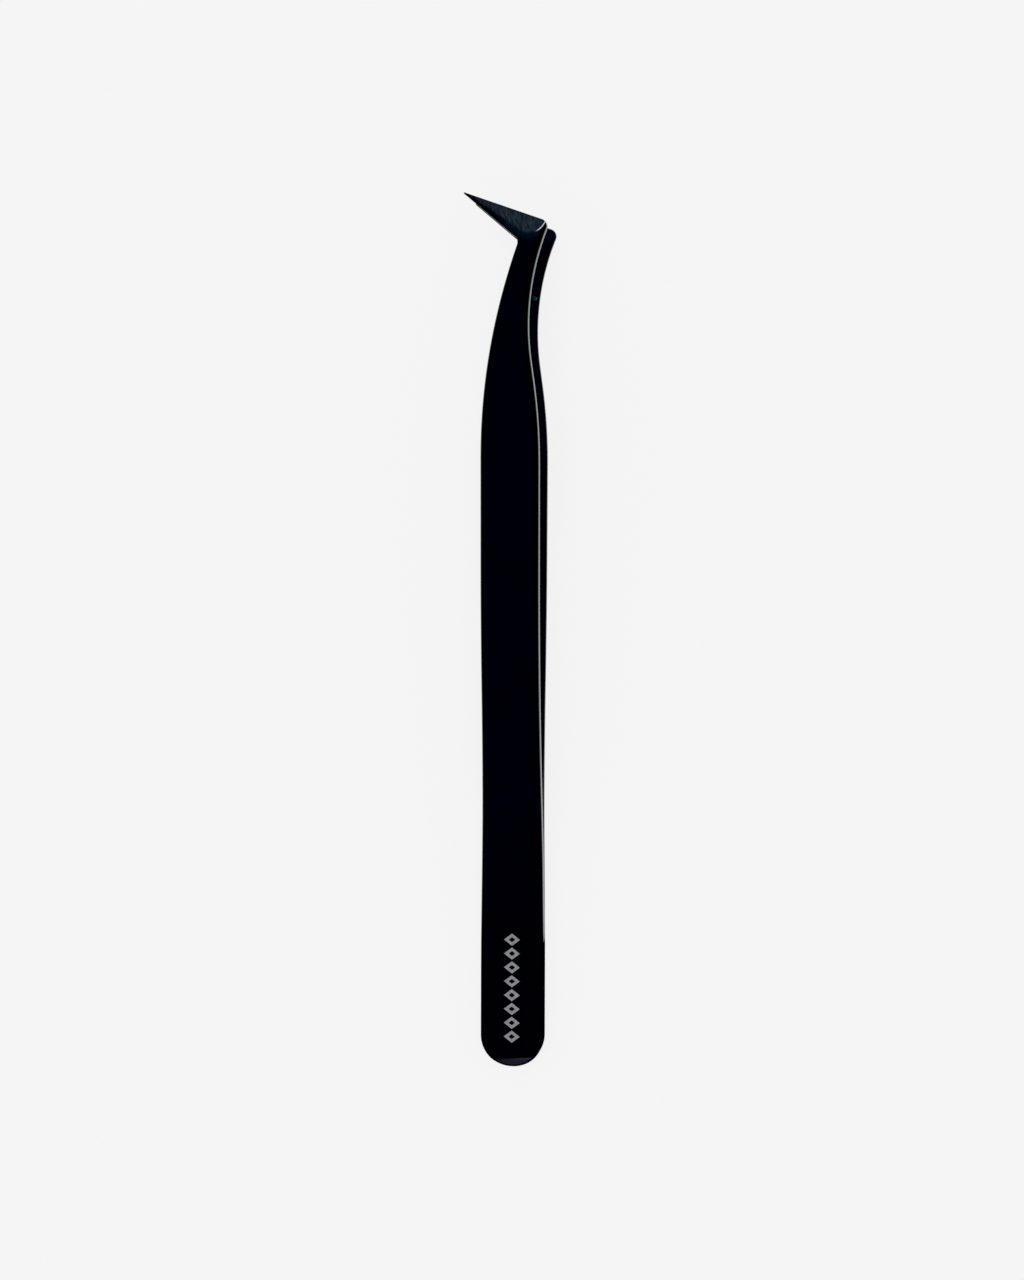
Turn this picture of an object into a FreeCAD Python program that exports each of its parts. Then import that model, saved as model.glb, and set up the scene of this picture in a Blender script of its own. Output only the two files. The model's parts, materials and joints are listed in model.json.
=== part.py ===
import FreeCAD, Part
import math
import os
import Sketcher
from FreeCAD import Vector

# Lash tweezers with angled boot tips, in millimetres.
#
# Two mirrored spring-steel arms are welded together at a flat butt. They part at the flexure, bow
# outwards and end in a slim neck and a pointed boot that turns off to one side (-X).
# +Y runs from the butt to the tips and +Z points away from the front arm's outer face.
# The origin is the middle of the flat outer face of the rear butt. The arms meet, when closed, on the
# plane z = arm_thickness. Each arm is split a little past the flexure into a butt, which stays still,
# and a blade, which turns about the strip's mid-thickness there. The split lies where the arms already
# slope apart by more than the turn, so that the blades clear each other all the way to closing.

DIMENSIONS = {
    # whole arm
    "overall_length": 130.1,   # to the point that the boot's two edges would meet in
    "butt_reach": 10.0,        # from the origin to the end of the butt
    "arm_thickness": 1.2,
    "butt_width": 9.5,
    "arm_width": 8.7,
    "waist_middle": 26.0,      # middle of the blend from butt width to arm width
    "waist_length": 22.0,      # half the length of that blend
    "flexure": 17.0,           # y at which the arms part
    "split": 24.0,             # y at which each arm is divided into butt and blade
    "split_gap": 0.05,         # hairline that keeps blade and butt apart while the blade turns
    # bow of the inner face, seen from the side
    "flare_radius": 116.0,
    "flare_angle": 6.8,
    "flare_length": 15.0,
    "belly_radius": 204.0,
    "blade_angle": 1.0,
    # outline, seen from above
    "shoulder_start": 80.5,
    "shoulder_radius": 86.0,
    "taper_angle": 8.0,
    "taper_length": 3.0,
    "throat_side_start": 81.5,
    "throat_side_radius": 90.0,
    "throat_offset": 1.1,
    "throat_radius": 0.8,
    "heel_offset": 5.8,
    "heel_radius": 1.1,
    "tip_offset": 7.25,
    "tip_blunting": 0.5,
    "boot_angle": 19.6,        # of the boot's top edge, from the X axis
    "lower_angle": 40.2,       # of the boot's lower edge, from the X axis
    # ground faces
    "facet_angle": 1.5,        # outer face of the boot, from the XY plane
    "facet_turn": 25.0,        # back edge of that face, from the X axis
    "grip_start": 111.5,       # y at which the inner grip face begins
    "butt_facet_angle": 18.0,
    "butt_facet_length": 1.3,
    "edge_bevel": 0.35,
    # spot welds and guide pin
    "weld_diameter": 3.0,
    "weld_height": 0.6,
    "weld_first": -4.0,
    "weld_pitch": 8.0,
    "weld_count": 3.0,
    "pin_diameter": 0.7,
    "pin_socket_diameter": 0.95,
    "pin_seat": 0.7,           # depth pressed into the rear arm
    "pin_reach": 0.6,          # height proud of the rear arm
    "pin_socket_depth": 0.8,
    "pin_offset": 2.3,
    "pin_station": 105.5,
}

OVERRUN = 1.0     # how far cutting shapes run past the material
MIDPLANE = "Dims.arm_thickness"


def make_sheet(doc):
    """Put the driving dimensions in a spreadsheet, one aliased cell each."""
    sheet = doc.addObject("Spreadsheet::Sheet", "Dims")
    for row, (alias, value) in enumerate(DIMENSIONS.items(), start=1):
        sheet.set(f"A{row}", alias)
        sheet.set(f"B{row}", str(value))
        sheet.setAlias(f"B{row}", alias)
    doc.recompute()
    return sheet


def dim(name):
    return DIMENSIONS[name]


# ---------------------------------------------------------------- points worked out from the dimensions


def tip_point():
    return Vector(-dim("tip_offset"), dim("overall_length") - dim("butt_reach"), 0)


def waist_bend_radius():
    """Radius of the two equal arcs that blend the butt width into the arm width."""
    step = (dim("butt_width") - dim("arm_width")) / 4
    return (dim("waist_length") ** 2 + step**2) / (2 * step)


def on_top_edge(x):
    """Point of the boot's straight top edge at a given x."""
    slope = math.tan(math.radians(dim("boot_angle")))
    tip = tip_point()
    return Vector(x, tip.y - (x - tip.x) * slope, 0)


def neck_top():
    """Where the curved throat side of the neck ends and a short straight to the throat begins."""
    radius = dim("throat_side_radius")
    run = dim("throat_offset") + dim("arm_width") / 2
    rise = math.sqrt(radius**2 - (radius - run) ** 2)
    return Vector(dim("throat_offset"), dim("throat_side_start") + rise, 0)


def throat_corner():
    """Sharp corner, before rounding, between that straight and the lower edge of the boot."""
    tip = tip_point()
    drop = (tip.x - dim("throat_offset")) * math.tan(math.radians(dim("lower_angle")))
    return Vector(dim("throat_offset"), tip.y + drop, 0)


def round_of_corner(before, corner, after, radius):
    """Start, centre and end of the arc that rounds a corner between two straight lines."""
    back = (before - corner).normalize()
    ahead = (after - corner).normalize()
    half_angle = back.getAngle(ahead) / 2
    reach = radius / math.tan(half_angle)
    centre = corner + (back + ahead).normalize() * (radius / math.sin(half_angle))
    return corner + back * reach, centre, corner + ahead * reach


def round_of_heel(neck_centre, neck_radius):
    """Start, centre and end of the arc that rounds the heel between the neck's curve and the top edge."""
    radius = dim("heel_radius")
    lean = math.radians(dim("boot_angle"))
    along = Vector(math.cos(lean), -math.sin(lean), 0)
    inwards = Vector(-math.sin(lean), -math.cos(lean), 0)
    offset_line = on_top_edge(dim("heel_offset")) + inwards * radius - neck_centre
    reach = neck_radius + radius
    half = offset_line.dot(along)
    root = math.sqrt(half**2 - offset_line.dot(offset_line) + reach**2)
    centre = neck_centre + offset_line - along * (half + root)
    on_neck = neck_centre + (centre - neck_centre) * (neck_radius / reach)
    return on_neck, centre, centre - inwards * radius


def inner_profile():
    """Corners of the inner face seen from the side, as (y, height above the parting plane)."""
    flare = math.radians(dim("flare_angle"))
    lie = math.radians(dim("blade_angle"))
    flare_radius = dim("flare_radius")
    belly_radius = dim("belly_radius")
    bend_end = Vector(
        dim("flexure") + flare_radius * math.sin(flare), flare_radius * (1 - math.cos(flare)), 0
    )
    flare_end = bend_end + Vector(math.cos(flare), math.sin(flare), 0) * dim("flare_length")
    belly_centre = flare_end + Vector(math.sin(flare), -math.cos(flare), 0) * belly_radius
    belly_end = belly_centre + Vector(-math.sin(lie), math.cos(lie), 0) * belly_radius
    return bend_end, flare_end, belly_centre, belly_end


def inner_height(y):
    """Height of the inner face above the parting plane, anywhere along the arm."""
    bend_end, flare_end, belly_centre, belly_end = inner_profile()
    if y <= dim("flexure"):
        return 0.0
    if y <= bend_end.x:
        radius = dim("flare_radius")
        return radius - math.sqrt(radius**2 - (y - dim("flexure")) ** 2)
    if y <= flare_end.x:
        return bend_end.y + (y - bend_end.x) * math.tan(math.radians(dim("flare_angle")))
    if y <= belly_end.x:
        return belly_centre.y + math.sqrt(dim("belly_radius") ** 2 - (y - belly_centre.x) ** 2)
    return belly_end.y + (y - belly_end.x) * math.tan(math.radians(dim("blade_angle")))


def pivot_height():
    """Height of the strip's mid-thickness at the split, above the parting plane."""
    slope = math.asin((dim("split") - dim("flexure")) / dim("flare_radius"))
    return inner_height(dim("split")) + dim("arm_thickness") / 2 / math.cos(slope)


def grip_angle():
    """Angle each blade turns about its pivot before the grip faces meet on the parting plane."""
    run = dim("grip_start") - dim("split")
    rise = inner_height(dim("grip_start")) - pivot_height()
    return math.atan2(rise, run) + math.asin(pivot_height() / math.hypot(run, rise))


def grip_height(y):
    """Height of the grip face above the parting plane: the plane that the closing turn lays flat."""
    angle = grip_angle()
    foot = Vector(math.sin(angle), 1 - math.cos(angle), 0) * pivot_height()
    return foot.y + (y - dim("split") - foot.x) * math.tan(angle)


# ---------------------------------------------------------------------------------- sketching helpers


def origin_plane(body, role):
    return next(item for item in body.Origin.OriginFeatures if item.Role == role)


def new_sketch(body, name, role):
    sketch = body.newObject("Sketcher::SketchObject", name)
    sketch.AttachmentSupport = (origin_plane(body, role), [""])
    sketch.MapMode = "FlatFace"
    return sketch


def line(start, end):
    return Part.LineSegment(start, end)


def arc(start, middle, end):
    return Part.Arc(start, middle, end)


def arc_between(centre, start, end):
    """The shorter arc around a centre from start to end."""
    radius = (start - centre).Length
    towards = (start + end) * 0.5 - centre
    middle = centre + towards * (radius / towards.Length)
    return arc(start, middle, end)


def reversed_edges(arcs):
    """The same run of arcs, followed the other way."""
    return [arc(*(edge.value(at) for at in arc_parameters(edge)[::-1])) for edge in reversed(arcs)]


def arc_parameters(edge):
    return edge.FirstParameter, (edge.FirstParameter + edge.LastParameter) / 2, edge.LastParameter


def add_loop(sketch, edges):
    """Add edges that follow each other head to tail, joined at their ends, and return their numbers."""
    numbers = [sketch.addGeometry(edge, False) for edge in edges]
    ends = [ends_of(sketch, number, edge) for number, edge in zip(numbers, edges)]
    for index, number in enumerate(numbers):
        following = (index + 1) % len(numbers)
        head = ends[index][1]
        tail = ends[following][0]
        sketch.addConstraint(Sketcher.Constraint("Coincident", number, head, numbers[following], tail))
    return numbers


def ends_of(sketch, number, edge):
    """Which of the sketch's two end numbers is the edge's start, and which its end."""
    wanted = edge.StartPoint if isinstance(edge, Part.LineSegment) else edge.value(edge.FirstParameter)
    stored = sketch.getPoint(number, 1)
    return (1, 2) if (stored - wanted).Length < 1e-6 else (2, 1)


def add_polygon(sketch, corners):
    """Add a closed run of straight lines."""
    following = corners[1:] + corners[:1]
    return add_loop(sketch, [line(corner, after) for corner, after in zip(corners, following)])


def bind(sketch, name, kind, references, value, expression):
    """Add a named driving constraint and bind it to the spreadsheet."""
    index = sketch.addConstraint(Sketcher.Constraint(kind, *references, value))
    sketch.renameConstraint(index, name)
    sketch.setExpression(f"Constraints.{name}", expression)


def pad(body, name, sketch, expression, symmetric=False):
    feature = body.newObject("PartDesign::Pad", name)
    feature.Profile = sketch
    feature.SideType = "Symmetric" if symmetric else "One side"
    feature.setExpression("Length", expression)
    return feature


def cut_through(body, name, sketch):
    """Pocket a sketch through everything, on both sides of its plane."""
    feature = body.newObject("PartDesign::Pocket", name)
    feature.Profile = sketch
    feature.SideType = "Symmetric"
    feature.Type = "Length"
    feature.setExpression("Length", "2 * Dims.overall_length")
    return feature


def edges_where(shape, wanted):
    """Names of the edges of a shape that pass a test."""
    return [f"Edge{number}" for number, edge in enumerate(shape.Edges, start=1) if wanted(edge)]


# -------------------------------------------------------------------------------------------- the arm


def offset_points(points, angles, distance):
    """Points moved square to the strip, outwards, given the strip's angle at each."""
    return [
        point + Vector(-math.sin(angle), math.cos(angle), 0) * distance
        for point, angle in zip(points, angles)
    ]


def ribbon_side(body):
    """The bowed strip seen from the side, from just past the butt's end to just past the tip."""
    bend_end, flare_end, belly_centre, belly_end = inner_profile()
    flare = math.radians(dim("flare_angle"))
    lie = math.radians(dim("blade_angle"))
    thickness = dim("arm_thickness")
    lift = Vector(0, thickness, 0)
    past_butt = Vector(-dim("butt_reach") - OVERRUN, 0, 0)
    flexure = Vector(dim("flexure"), 0, 0)
    past_tip_y = tip_point().y + OVERRUN
    past_tip = Vector(past_tip_y, inner_height(past_tip_y), 0)
    inner = [point + lift for point in (past_butt, flexure, bend_end, flare_end, belly_end, past_tip)]
    outer = offset_points(inner, (0, 0, flare, flare, lie, lie), thickness)
    bend_centre = flexure + Vector(0, dim("flare_radius"), 0) + lift
    belly_centre = belly_centre + lift
    sketch = new_sketch(body, "RibbonSide", "YZ_Plane")
    numbers = add_loop(sketch, [
        line(inner[0], inner[1]),
        arc_between(bend_centre, inner[1], inner[2]),
        line(inner[2], inner[3]),
        arc_between(belly_centre, inner[3], inner[4]),
        line(inner[4], inner[5]),
        line(inner[5], outer[5]),
        line(outer[5], outer[4]),
        arc_between(belly_centre, outer[4], outer[3]),
        line(outer[3], outer[2]),
        arc_between(bend_centre, outer[2], outer[1]),
        line(outer[1], outer[0]),
        line(outer[0], inner[0]),
    ])
    bind(sketch, "flare_radius", "Radius", (numbers[1],), dim("flare_radius"), "Dims.flare_radius")
    bind(sketch, "flare_length", "Distance", (numbers[2],), dim("flare_length"), "Dims.flare_length")
    bind(sketch, "belly_radius", "Radius", (numbers[3],), dim("belly_radius"), "Dims.belly_radius")
    bind(sketch, "thickness", "Distance", (numbers[11],), thickness, "Dims.arm_thickness")
    return sketch


def neck_curve():
    """Taper, neck arc and heel on the back of the arm, as points from the shoulder upwards."""
    taper = math.radians(dim("taper_angle"))
    outwards = Vector(math.cos(taper), math.sin(taper), 0)
    upwards = Vector(-math.sin(taper), math.cos(taper), 0)
    shoulder_centre = Vector(dim("arm_width") / 2 - dim("shoulder_radius"), dim("shoulder_start"), 0)
    taper_start = shoulder_centre + outwards * dim("shoulder_radius")
    taper_end = taper_start + upwards * dim("taper_length")
    to_heel = on_top_edge(dim("heel_offset")) - taper_end
    neck_radius = to_heel.Length**2 / (2 * to_heel.dot(outwards))
    neck_centre = taper_end + outwards * neck_radius
    return shoulder_centre, taper_start, taper_end, neck_centre, neck_radius


def waist_edges(side):
    """Blend from butt width to arm width on one side (+1 or -1), from the butt upwards."""
    radius = waist_bend_radius()
    low = Vector(side * dim("butt_width") / 2, dim("waist_middle") - dim("waist_length"), 0)
    high = Vector(side * dim("arm_width") / 2, dim("waist_middle") + dim("waist_length"), 0)
    middle = (low + high) * 0.5
    inwards = Vector(-side * radius, 0, 0)
    return low, high, [arc_between(low + inwards, low, middle), arc_between(high - inwards, middle, high)]


def arm_outline(body):
    """Material to keep, seen from above, inside a frame that is cut away."""
    half = dim("arm_width") / 2
    butt_half = dim("butt_width") / 2
    butt_end = Vector(0, -dim("butt_reach"), 0)
    butt_right = butt_end + Vector(butt_half, butt_half, 0)
    butt_left = butt_end + Vector(-butt_half, butt_half, 0)
    right_low, right_high, right_waist = waist_edges(1)
    left_low, left_high, left_waist = waist_edges(-1)
    right_shoulder = Vector(half, dim("shoulder_start"), 0)
    left_shoulder = Vector(-half, dim("throat_side_start"), 0)

    shoulder_centre, taper_start, taper_end, neck_centre, neck_radius = neck_curve()
    heel_start, heel_centre, heel_end = round_of_heel(neck_centre, neck_radius)
    tip = tip_point()
    throat_start, throat_centre, throat_end = round_of_corner(
        tip, throat_corner(), neck_top(), dim("throat_radius")
    )
    side_centre = left_shoulder + Vector(dim("throat_side_radius"), 0, 0)

    sketch = new_sketch(body, "ArmOutline", "XY_Plane")
    numbers = add_loop(sketch, [
        arc(butt_left, butt_end, butt_right),
        line(butt_right, right_low),
        *right_waist,
        line(right_high, right_shoulder),
        arc_between(shoulder_centre, right_shoulder, taper_start),
        line(taper_start, taper_end),
        arc_between(neck_centre, taper_end, heel_start),
        arc_between(heel_centre, heel_start, heel_end),
        line(heel_end, tip),
        line(tip, throat_start),
        arc_between(throat_centre, throat_start, throat_end),
        line(throat_end, neck_top()),
        arc_between(side_centre, neck_top(), left_shoulder),
        line(left_shoulder, left_high),
        *reversed_edges(left_waist),
        line(left_low, butt_left),
    ])
    butt_round, butt_side = numbers[:2]
    arm_side, shoulder, taper_line = numbers[4:7]
    heel = numbers[8]
    lower_edge, throat, neck_straight, throat_side, left_side = numbers[10:15]
    for upright in (butt_side, arm_side, neck_straight, left_side, numbers[-1]):
        sketch.addConstraint(Sketcher.Constraint("Vertical", upright))
    bind(sketch, "butt_round", "Radius", (butt_round,), butt_half, "Dims.butt_width / 2")
    bind(sketch, "half_width", "DistanceX", (-1, 1, arm_side, 1), half, "Dims.arm_width / 2")
    bind(sketch, "shoulder_radius", "Radius", (shoulder,), dim("shoulder_radius"), "Dims.shoulder_radius")
    bind(sketch, "taper_length", "Distance", (taper_line,), dim("taper_length"), "Dims.taper_length")
    bind(sketch, "heel_radius", "Radius", (heel,), dim("heel_radius"), "Dims.heel_radius")
    bind(sketch, "tip_offset", "DistanceX", (lower_edge, 1, -1, 1), -tip.x, "Dims.tip_offset")
    bind(sketch, "tip_height", "DistanceY", (-1, 1, lower_edge, 1), tip.y,
         "Dims.overall_length - Dims.butt_reach")
    bind(sketch, "throat_radius", "Radius", (throat,), dim("throat_radius"), "Dims.throat_radius")
    bind(sketch, "throat_side_radius", "Radius", (throat_side,), dim("throat_side_radius"),
         "Dims.throat_side_radius")
    add_frame(sketch, tip.y + 3 * OVERRUN, butt_end.y - 3 * OVERRUN)
    return sketch


def add_frame(sketch, top, bottom):
    """Rectangle well outside the arm, so that the pocket removes all but the outline."""
    side = 2 * dim("butt_width")
    add_polygon(sketch, [
        Vector(-side, bottom, 0),
        Vector(side, bottom, 0),
        Vector(side, top, 0),
        Vector(-side, top, 0),
    ])


def blunt_tip(body):
    """Region past the blunted end of the tip, seen from above."""
    lie = math.radians((dim("boot_angle") + dim("lower_angle")) / 2)
    forwards = Vector(-math.cos(lie), math.sin(lie), 0)
    across = Vector(math.sin(lie), math.cos(lie), 0) * OVERRUN
    near = tip_point() - forwards * dim("tip_blunting")
    far = tip_point() + forwards * OVERRUN
    sketch = new_sketch(body, "TipEnd", "XY_Plane")
    add_polygon(sketch, [near - across, near + across, far + across, far - across])
    return sketch


def grip_side(body):
    """Region below the ground grip face, seen from the side."""
    back = dim("grip_start") - 4 * OVERRUN
    front = tip_point().y + 2 * OVERRUN
    parting = dim("arm_thickness")
    low = parting - OVERRUN
    sketch = new_sketch(body, "GripSide", "YZ_Plane")
    add_polygon(sketch, [
        Vector(back, parting + grip_height(back), 0),
        Vector(back, low, 0),
        Vector(front, low, 0),
        Vector(front, parting + grip_height(front), 0),
    ])
    return sketch


def butt_facet(body):
    """Triangle, seen from the side, that grinds a slope on the outer face at the very end."""
    end_y = -dim("butt_reach")
    top = 2 * dim("arm_thickness")
    back_y = end_y + dim("butt_facet_length")
    drop = (dim("butt_facet_length") + OVERRUN) * math.tan(math.radians(dim("butt_facet_angle")))
    sketch = new_sketch(body, "ButtFacetSide", "YZ_Plane")
    numbers = add_polygon(sketch, [
        Vector(back_y, top, 0),
        Vector(end_y - OVERRUN, top - drop, 0),
        Vector(end_y - OVERRUN, top + OVERRUN, 0),
        Vector(back_y, top + OVERRUN, 0),
    ])
    bind(sketch, "start_height", "DistanceY", (-1, 1, numbers[0], 1), top, "2 * Dims.arm_thickness")
    return sketch


def weld_seats(doc, body):
    """Row of shallow round seats for the weld nuggets, in the butt's inner face."""
    sketch = new_sketch(body, "WeldSeatOutline", "XY_Plane")
    sketch.AttachmentOffset = FreeCAD.Placement(Vector(0, 0, dim("arm_thickness")), FreeCAD.Rotation())
    sketch.setExpression("AttachmentOffset.Base.z", MIDPLANE)
    centre = Vector(0, dim("weld_first"), 0)
    seat = sketch.addGeometry(Part.Circle(centre, Vector(0, 0, 1), dim("weld_diameter") / 2), False)
    sketch.addConstraint(Sketcher.Constraint("PointOnObject", seat, 3, -2))
    bind(sketch, "seat", "Diameter", (seat,), dim("weld_diameter"), "Dims.weld_diameter")
    bind(sketch, "station", "DistanceY", (seat, 3, -1, 1), -dim("weld_first"), "-Dims.weld_first")
    recess = body.newObject("PartDesign::Pocket", "WeldSeat")
    recess.Profile = sketch
    recess.Reversed = True
    recess.setExpression("Length", "Dims.weld_height / 2")
    doc.recompute()

    row = body.newObject("PartDesign::LinearPattern", "WeldSeats")
    row.Originals = [recess]
    row.Direction = (sketch, ["V_Axis"])
    row.setExpression("Length", "Dims.weld_pitch * (Dims.weld_count - 1)")
    row.setExpression("Occurrences", "Dims.weld_count")
    return row


def outer_facet(body):
    """Block that grinds the outer face of the boot down towards the tip."""
    turn = math.radians(dim("facet_turn"))
    fall = math.radians(dim("facet_angle"))
    lie = math.radians(dim("blade_angle"))
    start = neck_top()
    outer_height = dim("arm_thickness") + inner_height(start.y) + dim("arm_thickness") / math.cos(lie)
    along = Vector(math.cos(turn), math.sin(turn), 0)
    down = Vector(-math.sin(turn) * math.cos(fall), math.cos(turn) * math.cos(fall), -math.sin(fall))
    normal = along.cross(down)
    block = body.newObject("PartDesign::SubtractiveBox", "BootFacet")
    base = Vector(start.x, start.y, outer_height) - along * dim("arm_width")
    block.Placement = FreeCAD.Placement(base, FreeCAD.Rotation(along, down, normal, "ZXY"))
    block.setExpression("Length", "2 * Dims.arm_width")
    block.setExpression("Width", "2 * Dims.arm_width")
    block.setExpression("Height", "Dims.arm_width")
    return block


def is_outer_rim(edge):
    """Edges between the arm's outer face and its sides, all round."""
    middle_parameter = (edge.FirstParameter + edge.LastParameter) / 2
    middle = edge.valueAt(middle_parameter)
    direction = edge.tangentAt(middle_parameter)
    height = middle.z - dim("arm_thickness") - inner_height(middle.y)
    crosses_face = abs(direction.x) > 0.99 and middle.y > 0
    return height > 0.9 * dim("arm_thickness") and not crosses_face


def bevel_outer_rim(doc, body, base):
    feature = body.newObject("PartDesign::Chamfer", "RimBevel")
    feature.Base = (base, edges_where(base.Shape, is_outer_rim))
    feature.setExpression("Size", "Dims.edge_bevel")
    doc.recompute()


def make_arm(doc):
    """One whole arm, as it is cut and bent from strip: butt, flare, belly, neck and boot."""
    body = doc.addObject("PartDesign::Body", "Arm")
    pad(body, "Ribbon", ribbon_side(body), "4 * Dims.arm_width", symmetric=True)
    outline = cut_through(body, "OutlineCut", arm_outline(body))
    doc.recompute()
    bevel_outer_rim(doc, body, outline)
    cut_through(body, "ButtFacet", butt_facet(body))
    cut_through(body, "TipCut", blunt_tip(body))
    cut_through(body, "GripFace", grip_side(body))
    outer_facet(body)
    doc.recompute()
    body.Tip = weld_seats(doc, body)
    doc.recompute()
    return body


def keep_between(doc, name, source, start, end):
    """The part of an arm that lies between two stations along Y."""
    slab = doc.addObject("Part::Box", f"{name}Slab")
    slab.setExpression("Length", "4 * Dims.butt_width")
    slab.setExpression("Width", f"({end}) - ({start})")
    slab.setExpression("Height", "4 * Dims.butt_width")
    slab.setExpression("Placement.Base.x", "-2 * Dims.butt_width")
    slab.setExpression("Placement.Base.y", start)
    slab.setExpression("Placement.Base.z", "-2 * Dims.butt_width")
    kept = doc.addObject("Part::Common", name)
    kept.Base = source
    kept.Tool = slab
    return kept


# ------------------------------------------------------------------- mirrored arm, guide pin and welds


def mirrored(doc, source, name):
    """The same piece on the other side of the parting plane."""
    copy = doc.addObject("Part::Mirroring", name)
    copy.Source = source
    copy.Normal = Vector(0, 0, 1)
    copy.Base = Vector(0, 0, dim("arm_thickness"))
    copy.setExpression("Base.z", MIDPLANE)
    return copy


def upright_cylinder(doc, name, diameter, height, place):
    """Cylinder along Z, with its sizes and its base bound to the sheet."""
    cylinder = doc.addObject("Part::Cylinder", name)
    cylinder.setExpression("Radius", f"{diameter} / 2")
    cylinder.setExpression("Height", height)
    for axis, expression in zip("xyz", place):
        cylinder.setExpression(f"Placement.Base.{axis}", expression)
    return cylinder


def pin_face_height():
    """Height of the inner face beside the pin, above the parting plane."""
    return f"{inner_height(dim('pin_station')):.4f}"


def make_guide_pin(doc):
    """Pin pressed into the rear arm, just inside its back edge."""
    base = f"Dims.arm_thickness - {pin_face_height()} - Dims.pin_seat"
    place = ("Dims.pin_offset", "Dims.pin_station", base)
    return upright_cylinder(doc, "GuidePin", "Dims.pin_diameter", "Dims.pin_seat + Dims.pin_reach", place)


def make_pin_socket(doc):
    """Blind hole in the front arm that the pin enters when the arms close."""
    base = f"Dims.arm_thickness + {pin_face_height()} - Dims.pin_reach"
    place = ("Dims.pin_offset", "Dims.pin_station", base)
    height = "Dims.pin_reach + Dims.pin_socket_depth"
    return upright_cylinder(doc, "PinSocket", "Dims.pin_socket_diameter", height, place)


def drilled(doc, name, solid, hole):
    result = doc.addObject("Part::Cut", name)
    result.Base = solid
    result.Tool = hole
    return result


def make_spot_welds(doc):
    """Row of fused nuggets, half in each butt."""
    nuggets = []
    for index in range(round(dim("weld_count"))):
        station = f"Dims.weld_first + {index} * Dims.weld_pitch"
        place = ("0", station, "Dims.arm_thickness - Dims.weld_height / 2")
        name = f"Nugget{index + 1}"
        nuggets.append(upright_cylinder(doc, name, "Dims.weld_diameter", "Dims.weld_height", place))
    group = doc.addObject("Part::Compound", "SpotWelds")
    group.Links = nuggets
    return group


def check(doc, nodes):
    """Stop unless every object computed and every node is a valid, non-empty shape."""
    for item in doc.Objects:
        if "Invalid" in item.State or "Error" in item.State:
            raise RuntimeError(f"{item.Name} failed: {item.State}")
    for node in nodes:
        if node.Shape.isNull() or not node.Shape.isValid() or not node.Shape.Solids:
            raise RuntimeError(f"{node.Label} has no valid solid")


def main():
    doc = FreeCAD.newDocument("lash_tweezers")
    make_sheet(doc)
    arm = make_arm(doc)
    before_arm = f"-Dims.butt_reach - {OVERRUN}"
    past_arm = "Dims.overall_length"
    butt = keep_between(doc, "Butt", arm, before_arm, "Dims.split - Dims.split_gap")
    blade = keep_between(doc, "Blade", arm, "Dims.split", past_arm)
    guide_pin = make_guide_pin(doc)
    nodes = {
        "front_butt": butt,
        "rear_butt": mirrored(doc, butt, "RearButt"),
        "front_blade": drilled(doc, "FrontBlade", blade, make_pin_socket(doc)),
        "rear_blade": drilled(doc, "RearBlade", mirrored(doc, blade, "RearBladeBlank"), guide_pin),
        "guide_pin": guide_pin,
        "spot_welds": make_spot_welds(doc),
    }
    for label, node in nodes.items():
        node.Label = label
    doc.recompute()
    check(doc, nodes.values())

    os.makedirs("parts", exist_ok=True)
    for label, node in nodes.items():
        node.Shape.exportStep(f"parts/{label}.step")
        print(f"{label}: {len(node.Shape.Solids)} solid(s), {node.Shape.Volume:.1f} mm3")
    print(f"pivots at y {dim('split')}, {pivot_height():.4f} from the parting plane")
    print(f"grip faces meet after each blade turns {math.degrees(grip_angle()):.4f} degrees")


main()
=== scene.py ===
import json
import math

import bmesh
import bpy
import numpy as np
from mathutils import Matrix, Vector


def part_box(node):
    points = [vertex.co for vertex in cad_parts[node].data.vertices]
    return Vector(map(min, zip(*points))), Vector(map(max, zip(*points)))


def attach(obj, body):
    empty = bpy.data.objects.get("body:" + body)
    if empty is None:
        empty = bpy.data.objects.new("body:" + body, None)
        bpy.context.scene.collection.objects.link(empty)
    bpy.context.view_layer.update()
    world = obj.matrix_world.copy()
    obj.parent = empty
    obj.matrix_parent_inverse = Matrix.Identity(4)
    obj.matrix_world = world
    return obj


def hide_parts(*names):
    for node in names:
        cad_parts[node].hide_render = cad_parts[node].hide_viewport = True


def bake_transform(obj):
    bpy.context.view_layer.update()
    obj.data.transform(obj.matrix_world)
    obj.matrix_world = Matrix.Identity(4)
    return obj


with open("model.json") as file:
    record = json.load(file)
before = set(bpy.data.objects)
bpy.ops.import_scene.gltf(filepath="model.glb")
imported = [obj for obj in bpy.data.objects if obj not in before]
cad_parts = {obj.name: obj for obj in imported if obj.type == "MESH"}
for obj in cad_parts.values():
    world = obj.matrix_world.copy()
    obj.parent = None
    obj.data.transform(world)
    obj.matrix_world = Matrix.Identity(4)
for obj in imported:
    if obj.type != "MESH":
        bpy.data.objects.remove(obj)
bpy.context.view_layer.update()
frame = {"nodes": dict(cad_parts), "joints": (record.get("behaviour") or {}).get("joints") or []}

# Lash tweezers with boot tips. Shapes are worked out in millimetres and scaled to metres at the end.
# +Y runs from the butt to the tips, +Z out of the front arm's outer face, and the boots turn to -X.

MM = 0.001
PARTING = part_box("front_butt")[0].z / MM       # plane between the arms
THICKNESS = PARTING                            # the rear butt's outer face is at z = 0
BUTT_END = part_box("front_butt")[0].y / MM
BUTT_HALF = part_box("front_butt")[1].x / MM
ARM_HALF = 4.35


def rad(degrees):
    return math.radians(degrees)


# ------------------------------------------------------------------ outline, as two chains along Y

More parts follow.
